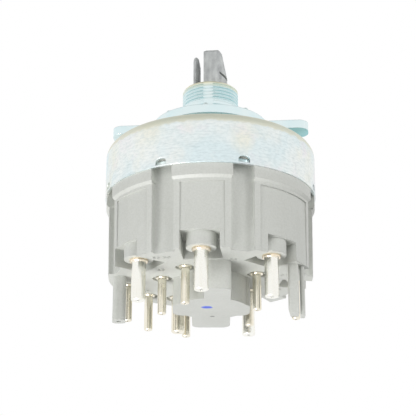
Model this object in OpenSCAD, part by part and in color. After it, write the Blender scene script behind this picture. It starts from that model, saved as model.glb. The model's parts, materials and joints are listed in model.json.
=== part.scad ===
// Rotary light switch with a pull-out stage, for a dashboard panel.
// A steel cup and a moulded pin base make the case. A threaded neck carries the keyed shaft,
// which turns a contact rotor inside and slides through it to work the pull-out contacts.
// Millimetres. The origin is where the axis meets the face that seats behind the panel,
// +Z points out through the panel to the knob, and -Y is the front of the base.
// Angles of pins and grooves are measured from -Y towards +X.

/* [Mounting plate] */
// Thickness of the mounting plate
plate_t = 2.6; // [1.5:0.1:3]
// Radius of the plate's disc
plate_r = 17.2; // [15:0.1:20]
// Reach of each ear from the axis
ear_reach = 29.4; // [24:0.1:34]
// Width of each ear
ear_w = 7.4; // [6.4:0.1:10]
// Radius of the ears' outer corners
ear_corner = 3.0; // [1:0.1:3.4]
// Height of the gripping pips
pip_h = 0.8; // [0.3:0.1:1.2]

/* [Threaded neck] */
// Radius over the thread
neck_r = 8.4; // [7.5:0.1:9.5]
// Height of the neck above the seat face
neck_h = 11.75; // [8:0.25:16]
// Height of the plain relief under the thread
relief_h = 4.0; // [2:0.25:6]
// Width of the locating keyway in the neck
keyway_w = 3.0; // [2:0.1:4]
// Radius of the neck's flange inside the cup
neck_flange_r = 11.0; // [10:0.1:12.5]
// Thickness of that flange
neck_flange_t = 2.0; // [1.2:0.1:3]
// Length of the neck's journal below the flange
journal_len = 6.0; // [4:0.5:8]

/* [Steel cup] */
// Outer radius of the cup
cap_r = 31.0; // [29:0.1:34]
// Height of the cup from its rim to the top of its shoulder
cap_h = 15.7; // [14.5:0.1:20]
// Sheet thickness of the cup
cap_t = 0.9; // [0.6:0.1:1.2]
// Radius of the cup's shoulder
cap_round = 3.6; // [2:0.1:4]
// Radius of the raised turret that carries the plate
turret_r = 14.4; // [13.5:0.1:16]
// Height of the turret over the shoulder
turret_h = 5.45; // [4.5:0.05:6.5]
// Width of each staked tab in the rim
tab_w = 3.0; // [2:0.1:4.5]
// Height of each staked tab
tab_h = 1.9; // [1.2:0.1:2.2]

/* [Moulded base] */
// Height of the base below the cup's rim
base_h = 24.2; // [22:0.1:32]
// How far the base's wall stands inside the cup's side
base_inset = 1.1; // [0.7:0.1:1.6]
// Radius lost by the base's draft, from top to bottom
draft = 0.3; // [0:0.05:0.6]
// Height of the top band
band_h = 4.2; // [3:0.1:6]
// Step between the cup's side and the band
band_step = 0.35; // [0.2:0.05:0.8]
// Width of the upright grooves
groove_w = 6.5; // [4:0.1:7]
// Depth of the upright grooves
groove_d = 2.5; // [1:0.1:3]
// Corner radius inside a groove
groove_round = 1.1; // [0.4:0.1:1.4]
// Depth of the panels' recessed fields
field_d = 0.4; // [0.2:0.05:0.8]
// Width of the rib beside each field
field_rib = 2.0; // [1:0.1:3]
// Wall between the inside and the floor of a groove
wall_t = 0.9; // [0.8:0.1:1.4]
// Thickness of the floor
floor_t = 2.5; // [1.8:0.1:3]
// Height of the spigot inside the cup
spigot_h = 5.0; // [4:0.1:5.2]
// Clearance between the spigot and the cup
spigot_gap = 0.1; // [0.05:0.01:0.2]

/* [Terminal pockets] */
// Width of a main terminal's pocket
pocket_w = 11.0; // [9:0.1:12]
// Height of the pockets above the bottom face
pocket_h = 5.3; // [3:0.1:6]
// Distance of a main terminal's axis from its pocket's back wall
pocket_depth = 5.3; // [4.6:0.1:6]
// Radius of the boss round a main terminal
boss_r = 4.2; // [3.4:0.1:4.6]
// How far a boss's face stays above the bottom face
boss_rise = 1.25; // [0.5:0.05:2]
// Depth of the round recess at a signal terminal
recess_d = 0.7; // [0.3:0.1:1.2]

/* [Centre hub and guide posts] */
// How far the lobed centre hub stands out of the bottom face
hub_out = 8.45; // [6:0.05:10]
// Wall of the hub
hub_wall = 1.8; // [1.4:0.1:2.2]
// Radius of the hub's round core
hub_r = 10.5; // [9.5:0.1:11.5]
// Turn of the hub's lobes from the base's front
hub_turn = 5; // [0:1:10]
// How far the longer guide post stands out of the bottom face
post_out = 14.2; // [11:0.1:16]

/* [Terminals] */
// Distance of the front row of main terminals from the base's wall
row_inset = 5.2; // [5:0.1:6]
// Radius of the circle of the inner signal terminals
inner_r = 14.0; // [13.6:0.1:14.6]
// Radius of the main terminals
main_pin_r = 2.0; // [1.5:0.05:2.2]
// Radius of the signal terminals
signal_pin_r = 1.25; // [1:0.05:1.5]
// How far the terminals stand out of the bottom face
pin_out = 10.7; // [7:0.1:12]
// Thickness of a terminal's flange
pin_flange_t = 0.7; // [0.4:0.1:1]
// Clearance of a terminal in its hole
pin_gap = 0.03; // [0.01:0.01:0.06]

/* [Contacts] */
// Height of the contact deck above the bottom face
deck_h = 7.4; // [6.5:0.1:9]
// Thickness of the contact strips
strip_t = 0.8; // [0.5:0.1:1]
// Inner radius of the strips
strip_r_in = 11.2; // [11:0.1:12]
// Gap between neighbouring strips, in degrees
strip_gap = 4; // [2:1:8]
// Running gap between a moving contact and a strip
contact_gap = 0.1; // [0.05:0.01:0.2]

/* [Rotor] */
// Gap between the contact disc and the base's inside, where the stops stand
rotor_gap = 2.1; // [1.7:0.1:3]
// Thickness of the contact disc
rotor_t = 7.9; // [6:0.1:9]
// Radius of the rotor's hub
rotor_hub_r = 9.6; // [9:0.1:10.5]
// Radius of the rotor's lower journal
low_journal_r = 7.0; // [6:0.1:7.4]
// Width of the detent arm
arm_w = 9.0; // [7:0.1:12]
// Height of the detent arm
arm_h = 8.0; // [6:0.1:9]
// Radial thickness of the detent ring
ring_wall = 3.4; // [3:0.1:4]
// Radius of the detent balls
ball_r = 2.0; // [1.5:0.1:2.4]
// Radial clearance of the running fits
run_fit = 0.08; // [0.04:0.01:0.1]
// Angle between two switch positions
step_angle = 45; // [20:1:45]

/* [Shaft] */
// Radius of the shaft in the neck
shaft_r = 5.2; // [4.5:0.1:5.6]
// Height of the shaft's end above the neck
shaft_out = 12.25; // [9:0.05:16]
// Height of the narrow prong above the neck
prong_out = 10.6; // [7:0.05:12]
// Width of the slot beside the prong
slot_w = 1.7; // [0.8:0.05:2]
// Half thickness across the flats of the shaft's end
end_flat = 4.9; // [3.8:0.1:5.1]
// Radius of the keyed tail
tail_r = 4.2; // [3.4:0.1:4.6]
// Half thickness across the tail's flats
tail_flat = 3.0; // [2.4:0.1:3.4]
// Travel of one pull-out stage
stage = 4.0; // [3:0.1:4]

/* [Hidden] */
$fn = 96;
eps = 0.01;

// Levels along the axis
shoulder_z = -plate_t - turret_h;
rim_z = shoulder_z - cap_h;
base_z = rim_z - base_h;
floor_z = base_z + floor_t;
deck_z = base_z + deck_h;
hub_z = base_z - hub_out;
pin_tip_z = base_z - pin_out;
boss_face_z = base_z + boss_rise;
pocket_top_z = base_z + pocket_h;
strip_top_z = deck_z + strip_t;

// Radii that follow from the case
cap_in_r = cap_r - cap_t;
band_r = cap_r - band_step;
base_r = cap_r - base_inset;
spigot_r = cap_in_r - spigot_gap;
groove_floor_r = base_r - groove_d;
cavity_r = groove_floor_r - wall_t;
strip_r_out = cavity_r - 0.1;
rotor_r = cavity_r - rotor_gap;

// Terminals as [angle, radius from the axis]
row_r = base_r - row_inset;
rear_r = row_r + 0.3;
MAIN = [[-1, row_r], [-49.5, row_r], [48, row_r], [-148, row_r - 3.2], [157.5, rear_r]];
SIGNAL = [[-26.8, inner_r - 0.5], [-81.7, inner_r], [74.6, inner_r + 0.1],
    [-127, rear_r], [-100.2, rear_r + 0.1], [-158, rear_r + 0.2],
    [140.3, inner_r + 2.4], [105.2, rear_r + 0.2]];
// Back walls of the pockets, reach of the hub's lobes short of the terminals, and the room
// round a terminal in its recess
pocket_back = row_r - pocket_depth;
small_back = pocket_back + 1.2;
front_lobe = pocket_back - 0.5;
rear_lobe = rear_r - 3.6;
main_room = 1.5;
signal_room = 1.55;
// Main terminals that stand in open pockets, the others stand in round recesses
POCKETED = [0, 1, 2, 4];
// Angles of the upright grooves
GROOVES = [-175, -113.5, -68, -21.6, 22.5, 81, 128];
// Radii of the terminals' rivets through the strips
main_rivet_r = main_pin_r - 1.0;
signal_rivet_r = signal_pin_r - 0.45;
// First and last angle of each contact strip
SECTORS = [[-38, 14], [-112, -38], [14, 92], [-172, -112], [92, 188]];
// Main and signal terminals riveted to each strip
STRIP_MAIN = [[0], [1], [2], [3], [4]];
STRIP_SIGNAL = [[0], [1, 4], [2], [3, 5], [6, 7]];

// Moving contacts: angle of each bridge in the off position, and where its two domes run
BRIDGES = [59, 137, 278];
bridge_r = (strip_r_in + strip_r_out) / 2 - 0.2;
dome_x = 4.2;
bridge_half = dome_x + 2;
dome_r = 1.5;
dome_h = 1.0;
bridge_t = 0.8;
bridge_w = 4.0;
bridge_z = strip_top_z + contact_gap + dome_h;
rotor_z = strip_top_z + 0.85;
bridge_pocket_h = rotor_t - 2.0;
bridge_slack = 0.2;

// Rotor hub and its bearings, with the room the shaft's tail needs in the hub of the base
tail_end_z = hub_z + hub_wall + 0.4;
clip_z = tail_end_z + 0.3;
clip_t = 0.7;
disc_t = 1.2;
disc_r = 5.8;
disc_top_z = clip_z + clip_t + disc_t;
travel = 2 * stage;
neck_low_z = -plate_t - cap_t - neck_flange_t;
journal_r = neck_flange_r - 3.5;
journal_z = neck_low_z - journal_len;
hub_top_z = neck_low_z - 0.3;
counter_z = journal_z - 0.3;
low_journal_z = disc_top_z + travel + 0.3;
collar_top_z = rotor_z - 0.2;
collar_r = strip_r_in - 0.6;

// Detent ring over the spigot, and the arm with its balls
ring_z = rim_z + spigot_h;
ring_h = cap_h - cap_t - spigot_h - (cap_round - cap_t) - 0.3;
ring_in_r = spigot_r - ring_wall;
arm_z = ring_z + ring_h / 2 - arm_h / 2;
arm_r = ring_in_r - 1.0;
ball_z = ring_z + ring_h / 2;
ball_c = ring_in_r - 0.3 - ball_r;
ball_bore = ball_r + 0.1;
detent_bore_in = rotor_hub_r + 2.6;
notch_r = ball_r + 0.35;

// Keyed tail of the shaft and what runs on it
neck_top_z = neck_h;
shaft_top_z = neck_h + shaft_out;
prong_top_z = neck_h + prong_out;
tail_top_z = counter_z - 0.8;
end_r = tail_r - 0.7;
end_half = tail_flat - 0.5;
clip_groove_r = end_half - 0.5;
pull_ball_r = 1.4;
pull_gap = 0.15;
pull_ball_z = (arm_z + rotor_z + rotor_t) / 2;
band_t = 0.6;
band_in_r = rotor_hub_r + 0.05;
blade_t = 0.6;
bump_d = 0.9;

steel = "#e4eae8";
blue_zinc = "#c9dfe6";
grey_plastic = "#c8c9c3";
die_cast = "#a9aaab";
tinned = "#dcd6c6";
brass = "#c8a24c";
black_plastic = "#2c2c2e";
spring_steel = "#8f9296";

// Point at an angle from -Y towards +X
function polar(a, r) = [r * sin(a), -r * cos(a)];

// Puts children at an angle and radius, turned so that their -Y faces outwards
module at(a, r = 0) {
    rotate([0, 0, a]) translate([0, -r, 0]) children();
}

// Wedge between two angles, out to a radius
module wedge(a0, a1, r) {
    steps = max(2, ceil((a1 - a0) / 30));
    polygon(concat([[0, 0]],
        [for (i = [0:steps]) polar(a0 + (a1 - a0) * i / steps, r)]));
}

// Rectangle with true round corners
module round_rect(x0, y0, x1, y1, r) {
    translate([x0 + r, y0]) square([x1 - x0 - 2 * r, y1 - y0]);
    translate([x0, y0 + r]) square([x1 - x0, y1 - y0 - 2 * r]);
    for (x = [x0 + r, x1 - r], y = [y0 + r, y1 - r]) translate([x, y]) circle(r = r);
}

// Half section of a body of revolution with a rounded top edge
module round_top(r, h, f) {
    square([r, h - f]);
    square([r - f, h]);
    translate([r - f, h - f]) circle(r = f);
}

// Half section of a concave fillet in the corner that an upright at x makes with a floor at z
module fillet(x, z, f) {
    difference() {
        translate([x - eps, z - eps]) square([f + eps, f + eps]);
        translate([x + f, z + f]) circle(r = f);
    }
}

// Coil spring of round wire, from z = 0 up
module coil(r, wire, h, turns) {
    sides = 6;
    per_turn = 12;
    n = ceil(turns * per_turn);
    rise = h - 2 * wire;
    function ring_point(i, j) =
        let (a = 360 * turns * i / n, b = 360 * j / sides)
        [(r + wire * cos(b)) * cos(a), (r + wire * cos(b)) * sin(a),
            wire + rise * i / n + wire * sin(b)];
    points = [for (i = [0:n], j = [0:sides - 1]) ring_point(i, j)];
    function quad(a, b, c, d) = [[a, b, c], [a, c, d]];
    skin = [for (i = [0:n - 1], j = [0:sides - 1])
        each quad(i * sides + j, (i + 1) * sides + j,
            (i + 1) * sides + (j + 1) % sides, i * sides + (j + 1) % sides)];
    polyhedron(points, concat(skin, [[for (j = [0:sides - 1]) j]],
        [[for (j = [sides - 1:-1:0]) n * sides + j]]), convexity = 6);
}

// Drawn cup: straight side, rounded shoulder, raised turret and staked tabs
module cap() color(steel) {
    difference() {
        rotate_extrude() difference() {
            union() {
                translate([0, rim_z]) round_top(cap_r, cap_h, cap_round);
                translate([0, shoulder_z - cap_t]) round_top(turret_r, turret_h + cap_t, 1.6);
                fillet(turret_r, shoulder_z, 1.6);
            }
            translate([0, rim_z - eps])
                round_top(cap_in_r, cap_h - cap_t + eps, cap_round - cap_t);
            translate([0, shoulder_z - cap_t - eps])
                round_top(turret_r - cap_t, turret_h + eps, 1.6 - cap_t);
            translate([0, rim_z]) square([neck_r + 0.1, cap_h + turret_h + 1]);
        }
        for (a = GROOVES) at(a, cap_r) translate([0, 0, rim_z]) {
            translate([-tab_w / 2 - 0.15, -2, 0.45]) cube([tab_w + 0.3, 4, tab_h - 0.95]);
            translate([0, 2, tab_h - 0.5]) scale([1, 1, 0.6]) rotate([90, 0, 0])
                cylinder(r = tab_w / 2 + 0.15, h = 4);
        }
    }
    // Each tab stays joined at the rim and is driven in at its top
    for (a = GROOVES) at(a, cap_r - cap_t) translate([0, 0, rim_z + 0.2]) rotate([-32, 0, 0])
        translate([-tab_w / 2, -cap_t * 0.8, -0.1]) cube([tab_w, cap_t * 0.8, tab_h - 0.2]);
}

// Flat plate with two ears and eight gripping pips
module mounting_plate() color(blue_zinc) {
    difference() {
        union() {
            translate([0, 0, -plate_t]) cylinder(r = plate_r, h = plate_t);
            translate([0, 0, -plate_t]) linear_extrude(plate_t)
                round_rect(-ear_reach, -ear_w / 2, ear_reach, ear_w / 2, ear_corner);
            for (i = [0:7]) at(45 * i, plate_r - 1.3)
                translate([0, 0, -eps]) cylinder(r1 = 1.2, r2 = 0.6, h = pip_h + eps);
        }
        translate([0, 0, -plate_t - 1]) cylinder(r = neck_r + 0.05, h = plate_t + 2);
    }
}

// Threaded neck with a locating keyway, a flange under the cup's turret and a bearing journal
module neck_bush() color(blue_zinc) {
    difference() {
        union() {
            translate([0, 0, neck_low_z + neck_flange_t - eps])
                cylinder(r = neck_r, h = -neck_low_z - neck_flange_t + eps);
            translate([0, 0, -eps]) cylinder(r = neck_r - 0.3, h = relief_h + 2 * eps);
            translate([0, 0, relief_h]) cylinder(r = neck_r, h = neck_h - relief_h - 0.6);
            translate([0, 0, neck_h - 0.6]) cylinder(r1 = neck_r, r2 = neck_r - 0.6, h = 0.6);
            translate([0, 0, neck_low_z]) cylinder(r = neck_flange_r, h = neck_flange_t);
            translate([0, 0, journal_z]) cylinder(r = journal_r, h = journal_len + eps);
        }
        translate([0, 0, journal_z - 1])
            cylinder(r = shaft_r + run_fit, h = neck_h - journal_z + 2);
        translate([-keyway_w / 2, -neck_r - 1, relief_h])
            cube([keyway_w, 1.5, neck_h]);
    }
}

// Outline of the lobed hub in the bottom, drawn in by a wall thickness
module hub_outline(inset) {
    rotate(hub_turn) {
        translate([0.3, 1.0]) circle(r = hub_r - inset);
        round_rect(-10.9 + inset, -3.4 + inset, 11.4 - inset, 8.4 - inset, 3.2 - inset);
        round_rect(-1.9 + inset, -front_lobe + inset, 5.7 - inset, 2, 2.2 - inset);
        round_rect(-5.5 + inset, 0, 5.8 - inset, rear_lobe - inset, 2.4 - inset);
    }
}

// Section of an upright groove, open outwards
module groove_section(w) {
    y0 = -groove_floor_r;
    translate([-w / 2, -cap_r - 2]) square([w, cap_r + 2 - groove_floor_r - groove_round]);
    translate([-w / 2 + groove_round, -cap_r - 2])
        square([w - 2 * groove_round, cap_r + 2 - groove_floor_r]);
    for (s = [-1, 1]) translate([s * (w / 2 - groove_round), y0 - groove_round])
        circle(r = groove_round);
}

// Outer skin of the base: drafted wall, chamfered top band and the spigot for the cup
module base_skin() {
    band_z = rim_z - band_h;
    rotate_extrude() polygon([[0, base_z], [base_r - draft, base_z], [base_r, band_z],
        [band_r, band_z + 0.8], [band_r, rim_z], [spigot_r, rim_z],
        [spigot_r, rim_z + spigot_h], [0, rim_z + spigot_h]]);
}

// Recessed fields of the panels between the grooves
module panel_fields() {
    for (i = [0:len(GROOVES) - 1]) {
        edge = asin((groove_w / 2 + field_rib) / base_r);
        a0 = GROOVES[i] + edge;
        a1 = (i == len(GROOVES) - 1 ? GROOVES[0] + 360 : GROOVES[i + 1]) - edge;
        translate([0, 0, base_z - 1]) linear_extrude(base_h + 1 - band_h - 0.8)
            difference() {
                wedge(a0, a1, cap_r * 1.2);
                circle(r = base_r - field_d);
            }
    }
}

// Open pocket round a main terminal, with the boss left standing in it
module pocket(r, w, back, boss) {
    difference() {
        translate([-w / 2, -cap_r - 2, base_z - 1])
            cube([w, cap_r + 2 - back, pocket_top_z - base_z + 1]);
        translate([0, -r, boss_face_z]) cylinder(r = boss, h = pocket_h);
    }
}

// Guide posts: one with a blind bore in its end on the left, a slotted one on the right
module guide_posts() {
    post_x = base_r - 8.2;
    at(-80.9, base_r - 3.4) translate([0, 0, base_z - post_out + 1.1]) difference() {
        linear_extrude(post_out) round_rect(-2.1, -1.6, 2.1, 2.2, 1.4);
        translate([0, 0.3, -eps]) cylinder(r = 0.6, h = 3);
    }
    rotate([0, 0, hub_turn]) translate([0, 0, base_z - post_out]) {
        difference() {
            linear_extrude(post_out + 1)
                round_rect(post_x, -14.9, post_x + 2.8, -10.9, 0.4);
            translate([post_x, -10, 0]) rotate([90, 0, 0]) linear_extrude(6)
                polygon([[-1, 2], [0, 2], [0.6, 0], [0.6, -1], [-1, -1]]);
        }
        linear_extrude(post_out + 1)
            round_rect(post_x + 3.4, -12.8, post_x + 4.6, -9.2, 0.4);
    }
}

// Moulded base with panels, pockets, bosses, lobed hub, contact deck and rotor stops
module base() color(grey_plastic) {
    difference() {
        union() {
            difference() {
                base_skin();
                translate([0, 0, floor_z]) cylinder(r = cavity_r, h = base_h + spigot_h);
            }
            // Blocks over the pockets
            intersection() {
                translate([0, 0, floor_z - eps]) cylinder(r = cavity_r + 1, h = deck_z - floor_z);
                for (i = POCKETED) at(MAIN[i][0])
                    translate([-pocket_w / 2 - 1.8, -cap_r, base_z])
                        cube([pocket_w + 3.6, cap_r + 1.8 - pocket_back, base_h]);
            }
            intersection() {
                translate([0, 0, floor_z - eps]) cylinder(r = cavity_r + 1, h = deck_z - floor_z);
                at(SIGNAL[7][0]) translate([-5.4, -cap_r, base_z])
                    cube([10.8, cap_r + 1.6 - small_back, base_h]);
            }
            // Sleeves that carry the terminals up to the deck
            for (i = [0:4]) at(MAIN[i][0], MAIN[i][1])
                translate([0, 0, floor_z - eps])
                    intersection() {
                        cylinder(r = 3.6, h = deck_z - floor_z + eps);
                        translate([0, MAIN[i][1], 0]) cylinder(r = cavity_r + 1, h = deck_h);
                    }
            for (p = SIGNAL) at(p[0], p[1]) translate([0, 0, floor_z - eps])
                intersection() {
                    cylinder(r = 2.7, h = deck_z - floor_z + eps);
                    translate([0, p[1], 0]) cylinder(r = cavity_r + 1, h = deck_h);
                }
            // Collar for the rotor's lower journal
            translate([0, 0, floor_z - eps]) cylinder(r = collar_r, h = collar_top_z - floor_z);
            // Stops for the rotor
            for (a = [180 + 8.6, 180 - 2 * step_angle - 8.6 - 7])
                intersection() {
                    translate([0, 0, rotor_z + 1.5]) linear_extrude(8) wedge(a, a + 7, cap_r);
                    difference() {
                        cylinder(r = cavity_r + 0.5, h = 200, center = true);
                        cylinder(r = rotor_r + 0.5, h = 200, center = true);
                    }
                }
            // Lobed hub
            translate([0, 0, hub_z]) linear_extrude(hub_out + 1) hub_outline(0);
        }
        // Grooves, a little narrower through the band, and the seats of the cup's tabs
        for (a = GROOVES) at(a) {
            translate([0, 0, base_z - 1])
                linear_extrude(base_h + 1 - band_h + 0.4) groove_section(groove_w);
            translate([0, 0, rim_z - band_h + 0.4 - eps])
                linear_extrude(band_h + tab_h + 0.8) groove_section(groove_w - 0.3);
        }
        panel_fields();
        for (i = POCKETED) at(MAIN[i][0]) pocket(MAIN[i][1], pocket_w, pocket_back, boss_r);
        at(SIGNAL[7][0]) pocket(SIGNAL[7][1], 7.2, small_back, 2.7);
        // Holes and recesses of the terminals
        for (i = [0:4]) at(MAIN[i][0], MAIN[i][1]) {
            translate([0, 0, base_z - 1])
                cylinder(r = main_pin_r - 0.4 + pin_gap, h = deck_h + 1 + eps);
        }
        at(MAIN[3][0], MAIN[3][1]) translate([0, 0, base_z - 1])
            cylinder(r = main_pin_r + main_room, h = 1 + recess_d);
        for (i = [0:7]) at(SIGNAL[i][0], SIGNAL[i][1]) {
            translate([0, 0, base_z - 1])
                cylinder(r = signal_pin_r - 0.3 + pin_gap, h = deck_h + 1 + eps);
            if (i != 7) translate([0, 0, base_z - 1])
                cylinder(r = signal_pin_r + signal_room, h = 1 + recess_d);
        }
        // Bearing bore, and the hollow of the hub with its lobes
        translate([0, 0, low_journal_z - 0.3])
            cylinder(r = low_journal_r + run_fit, h = deck_h + 10);
        translate([0, 0, hub_z + hub_wall])
            linear_extrude(low_journal_z - 0.3 + eps - hub_z - hub_wall) intersection() {
                hub_outline(hub_wall);
                circle(r = 30);
            }
    }
    guide_posts();
}

// Ring with notches for the detent balls, seated on the spigot
module detent_ring() color(spring_steel) {
    translate([0, 0, ring_z]) difference() {
        cylinder(r = spigot_r, h = ring_h);
        translate([0, 0, -1]) cylinder(r = ring_in_r, h = ring_h + 2);
        for (side = [90, -90], i = [0:2]) at(side - i * step_angle, ball_c + 0.7)
            translate([0, 0, -1]) cylinder(r = notch_r, h = ring_h + 2);
    }
}

// Terminal as a body of revolution: rounded tip, flange under the moulding, shank up to the
// deck, and a thinner rivet closed flush with the contact strip
module terminal(r, flange_r, shank_r, rivet_r, face_z) {
    tip = 0.45;
    rotate_extrude() {
        translate([0, pin_tip_z + tip]) square([r, face_z - pin_tip_z - tip]);
        translate([0, pin_tip_z]) square([r - tip, tip + eps]);
        intersection() {
            translate([r - tip, pin_tip_z + tip]) circle(r = tip);
            translate([0, pin_tip_z]) square([r, tip + eps]);
        }
        translate([0, face_z - pin_flange_t]) square([flange_r, pin_flange_t]);
        translate([0, face_z - eps]) square([shank_r, deck_z - face_z + eps]);
        translate([0, deck_z - eps]) square([rivet_r, strip_t + eps]);
    }
}

module main_pin(i) color(tinned) {
    face = i == 3 ? base_z + recess_d : boss_face_z;
    at(MAIN[i][0], MAIN[i][1])
        terminal(main_pin_r, main_pin_r + 0.6, main_pin_r - 0.4, main_rivet_r, face);
}

module signal_pin(i) color(tinned) {
    face = i == 7 ? boss_face_z : base_z + recess_d;
    at(SIGNAL[i][0], SIGNAL[i][1])
        terminal(signal_pin_r, signal_pin_r + 0.6, signal_pin_r - 0.3, signal_rivet_r, face);
}

// Stamped contact strip on the deck: a sector with a window, and holes for its terminals
module contact_strip(i) color(brass) {
    a0 = SECTORS[i][0] + strip_gap / 2;
    a1 = SECTORS[i][1] - strip_gap / 2;
    window_out = bridge_r - 1.4;
    window_in = window_out - 2.4;
    translate([0, 0, deck_z]) linear_extrude(strip_t) difference() {
        union() {
            intersection() {
                wedge(a0, a1, 60);
                difference() {
                    circle(r = strip_r_out);
                    circle(r = strip_r_in);
                    intersection() {
                        wedge(a0 + 8, a1 - 8, 60);
                        difference() {
                            circle(r = window_out);
                            circle(r = window_in);
                        }
                    }
                }
            }
            for (k = STRIP_SIGNAL[i]) intersection() {
                at(SIGNAL[k][0], SIGNAL[k][1]) circle(r = signal_rivet_r + 1.3);
                difference() {
                    circle(r = strip_r_out);
                    circle(r = strip_r_in);
                }
            }
        }
        for (k = STRIP_MAIN[i]) at(MAIN[k][0], MAIN[k][1])
            circle(r = main_rivet_r + pin_gap);
        for (k = STRIP_SIGNAL[i]) at(SIGNAL[k][0], SIGNAL[k][1])
            circle(r = signal_rivet_r + pin_gap);
    }
}

// Fixed blade of the pull-out contacts, standing in a lobe of the hub: the front one meets the
// disc in both stages of the pull, the back one in the second
module pull_contact(side) color(brass) {
    foot_z = hub_z + hub_wall;
    top_z = low_journal_z - 0.6;
    near = disc_r + 0.3;
    bump_z = disc_top_z - disc_t - 0.2 + (side > 0 ? stage : travel);
    rotate([0, 0, hub_turn]) translate([side > 0 ? 1.9 : 0.3, 0, 0]) scale([1, -side, 1]) {
        translate([-1.6, near + bump_d, foot_z]) cube([3.2, blade_t, top_z - foot_z]);
        translate([-1.6, near, bump_z]) cube([3.2, bump_d + eps, top_z - bump_z]);
    }
}

// Plane figure with two flats, used for the tail and its bore
module double_flat(r, f) {
    intersection() {
        circle(r = r);
        square([3 * r, 2 * f], center = true);
    }
}

// Contact rotor: disc with bridge pockets, hub with both bearings, and the detent arm
module rotor() color(black_plastic) {
    difference() {
        union() {
            translate([0, 0, rotor_z]) cylinder(r = rotor_r, h = rotor_t);
            translate([0, 0, rotor_z]) cylinder(r = rotor_hub_r, h = hub_top_z - rotor_z);
            translate([0, 0, low_journal_z])
                cylinder(r = low_journal_r, h = rotor_z - low_journal_z + eps);
            intersection() {
                translate([-arm_r, -arm_w / 2, arm_z]) cube([2 * arm_r, arm_w, arm_h]);
                cylinder(r = arm_r, h = 200, center = true);
            }
            // Webs from the disc up to the arm
            for (s = [0, 180]) rotate([0, 0, s])
                translate([band_in_r + band_t + 0.4, -1.2, rotor_z])
                    cube([8, 2.4, arm_z - rotor_z + eps]);
            // Stop lug
            intersection() {
                translate([0, 0, rotor_z + 1.8]) linear_extrude(rotor_t - 1.8)
                    wedge(172, 188, 60);
                cylinder(r = cavity_r - 0.5, h = 200, center = true);
            }
        }
        // Keyed bore, its clearance for the round shaft, and the upper bearing
        translate([0, 0, low_journal_z - 1]) linear_extrude(tail_top_z - low_journal_z + 0.5)
            double_flat(tail_r + run_fit, tail_flat + 0.1);
        translate([0, 0, tail_top_z - 0.5]) cylinder(r = shaft_r + 0.4, h = 20);
        translate([0, 0, counter_z]) cylinder(r = journal_r + run_fit, h = 20);
        // Pockets of the contact bridges
        for (a = BRIDGES) at(a)
            translate([-bridge_half - bridge_slack, -bridge_r - bridge_w / 2 - bridge_slack,
                rotor_z - 1])
                cube([2 * (bridge_half + bridge_slack), bridge_w + 2 * bridge_slack,
                    bridge_pocket_h + 1]);
        // Radial bores of the detent balls
        for (s = [-1, 1]) at(90 * s, 0) translate([0, -detent_bore_in, ball_z])
            rotate([90, 0, 0]) cylinder(r = ball_bore, h = 20);
        // Radial bore of the pull detent
        translate([0, -2, pull_ball_z]) rotate([90, 0, 0])
            cylinder(r = pull_ball_r + 0.1, h = rotor_hub_r);
    }
}

// Bridge with a dome near each end
module contact_bridge(i) color(brass) {
    at(BRIDGES[i]) {
        translate([-bridge_half, -bridge_r - bridge_w / 2, bridge_z])
            cube([2 * bridge_half, bridge_w, bridge_t]);
        for (x = [-dome_x, dome_x]) translate([x, -bridge_r, bridge_z - dome_h])
            cylinder(r1 = dome_r - 0.5, r2 = dome_r, h = dome_h + eps);
    }
}

module bridge_spring(i) color(spring_steel) {
    spring_h = rotor_z + bridge_pocket_h - bridge_z - bridge_t - 0.06;
    at(BRIDGES[i], bridge_r)
        translate([0, 0, bridge_z + bridge_t + 0.03]) coil(1.45, 0.22, spring_h, 3.5);
}

module detent_ball(s) color(steel) {
    at(90 * s, ball_c) translate([0, 0, ball_z]) sphere(r = ball_r);
}

module detent_spring(s) color(spring_steel) {
    spring_h = ball_c - ball_r * 0.8 - detent_bore_in - 0.1;
    at(90 * s) translate([0, -detent_bore_in - 0.05, ball_z]) rotate([90, 0, 0])
        coil(1.3, 0.25, spring_h, 4.25);
}

// Ball that clicks into the tail's notches, with its spring and the band that holds it in
module pull_detent_ball() color(steel) {
    translate([0, -tail_flat - pull_gap - pull_ball_r, pull_ball_z]) sphere(r = pull_ball_r);
}

module pull_detent_spring() color(spring_steel) {
    start = tail_flat + pull_gap + pull_ball_r * 1.8;
    translate([0, -start, pull_ball_z]) rotate([90, 0, 0])
        coil(0.95, 0.2, rotor_hub_r - start, 3);
}

module detent_band() color(spring_steel) {
    translate([0, 0, pull_ball_z - 2.2]) difference() {
        cylinder(r = band_in_r + band_t, h = 4.4);
        translate([0, 0, -1]) cylinder(r = band_in_r, h = 7);
    }
}

// Cut that breaks an upper corner at x by a chamfer, s being the side that it faces
module end_corner(x, z, s, c) {
    rotate([90, 0, 0]) linear_extrude(20, center = true)
        polygon([[x + s, z - c - 1], [x + s, z + 1], [x - s * (c + 1), z + 1]]);
}

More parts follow.
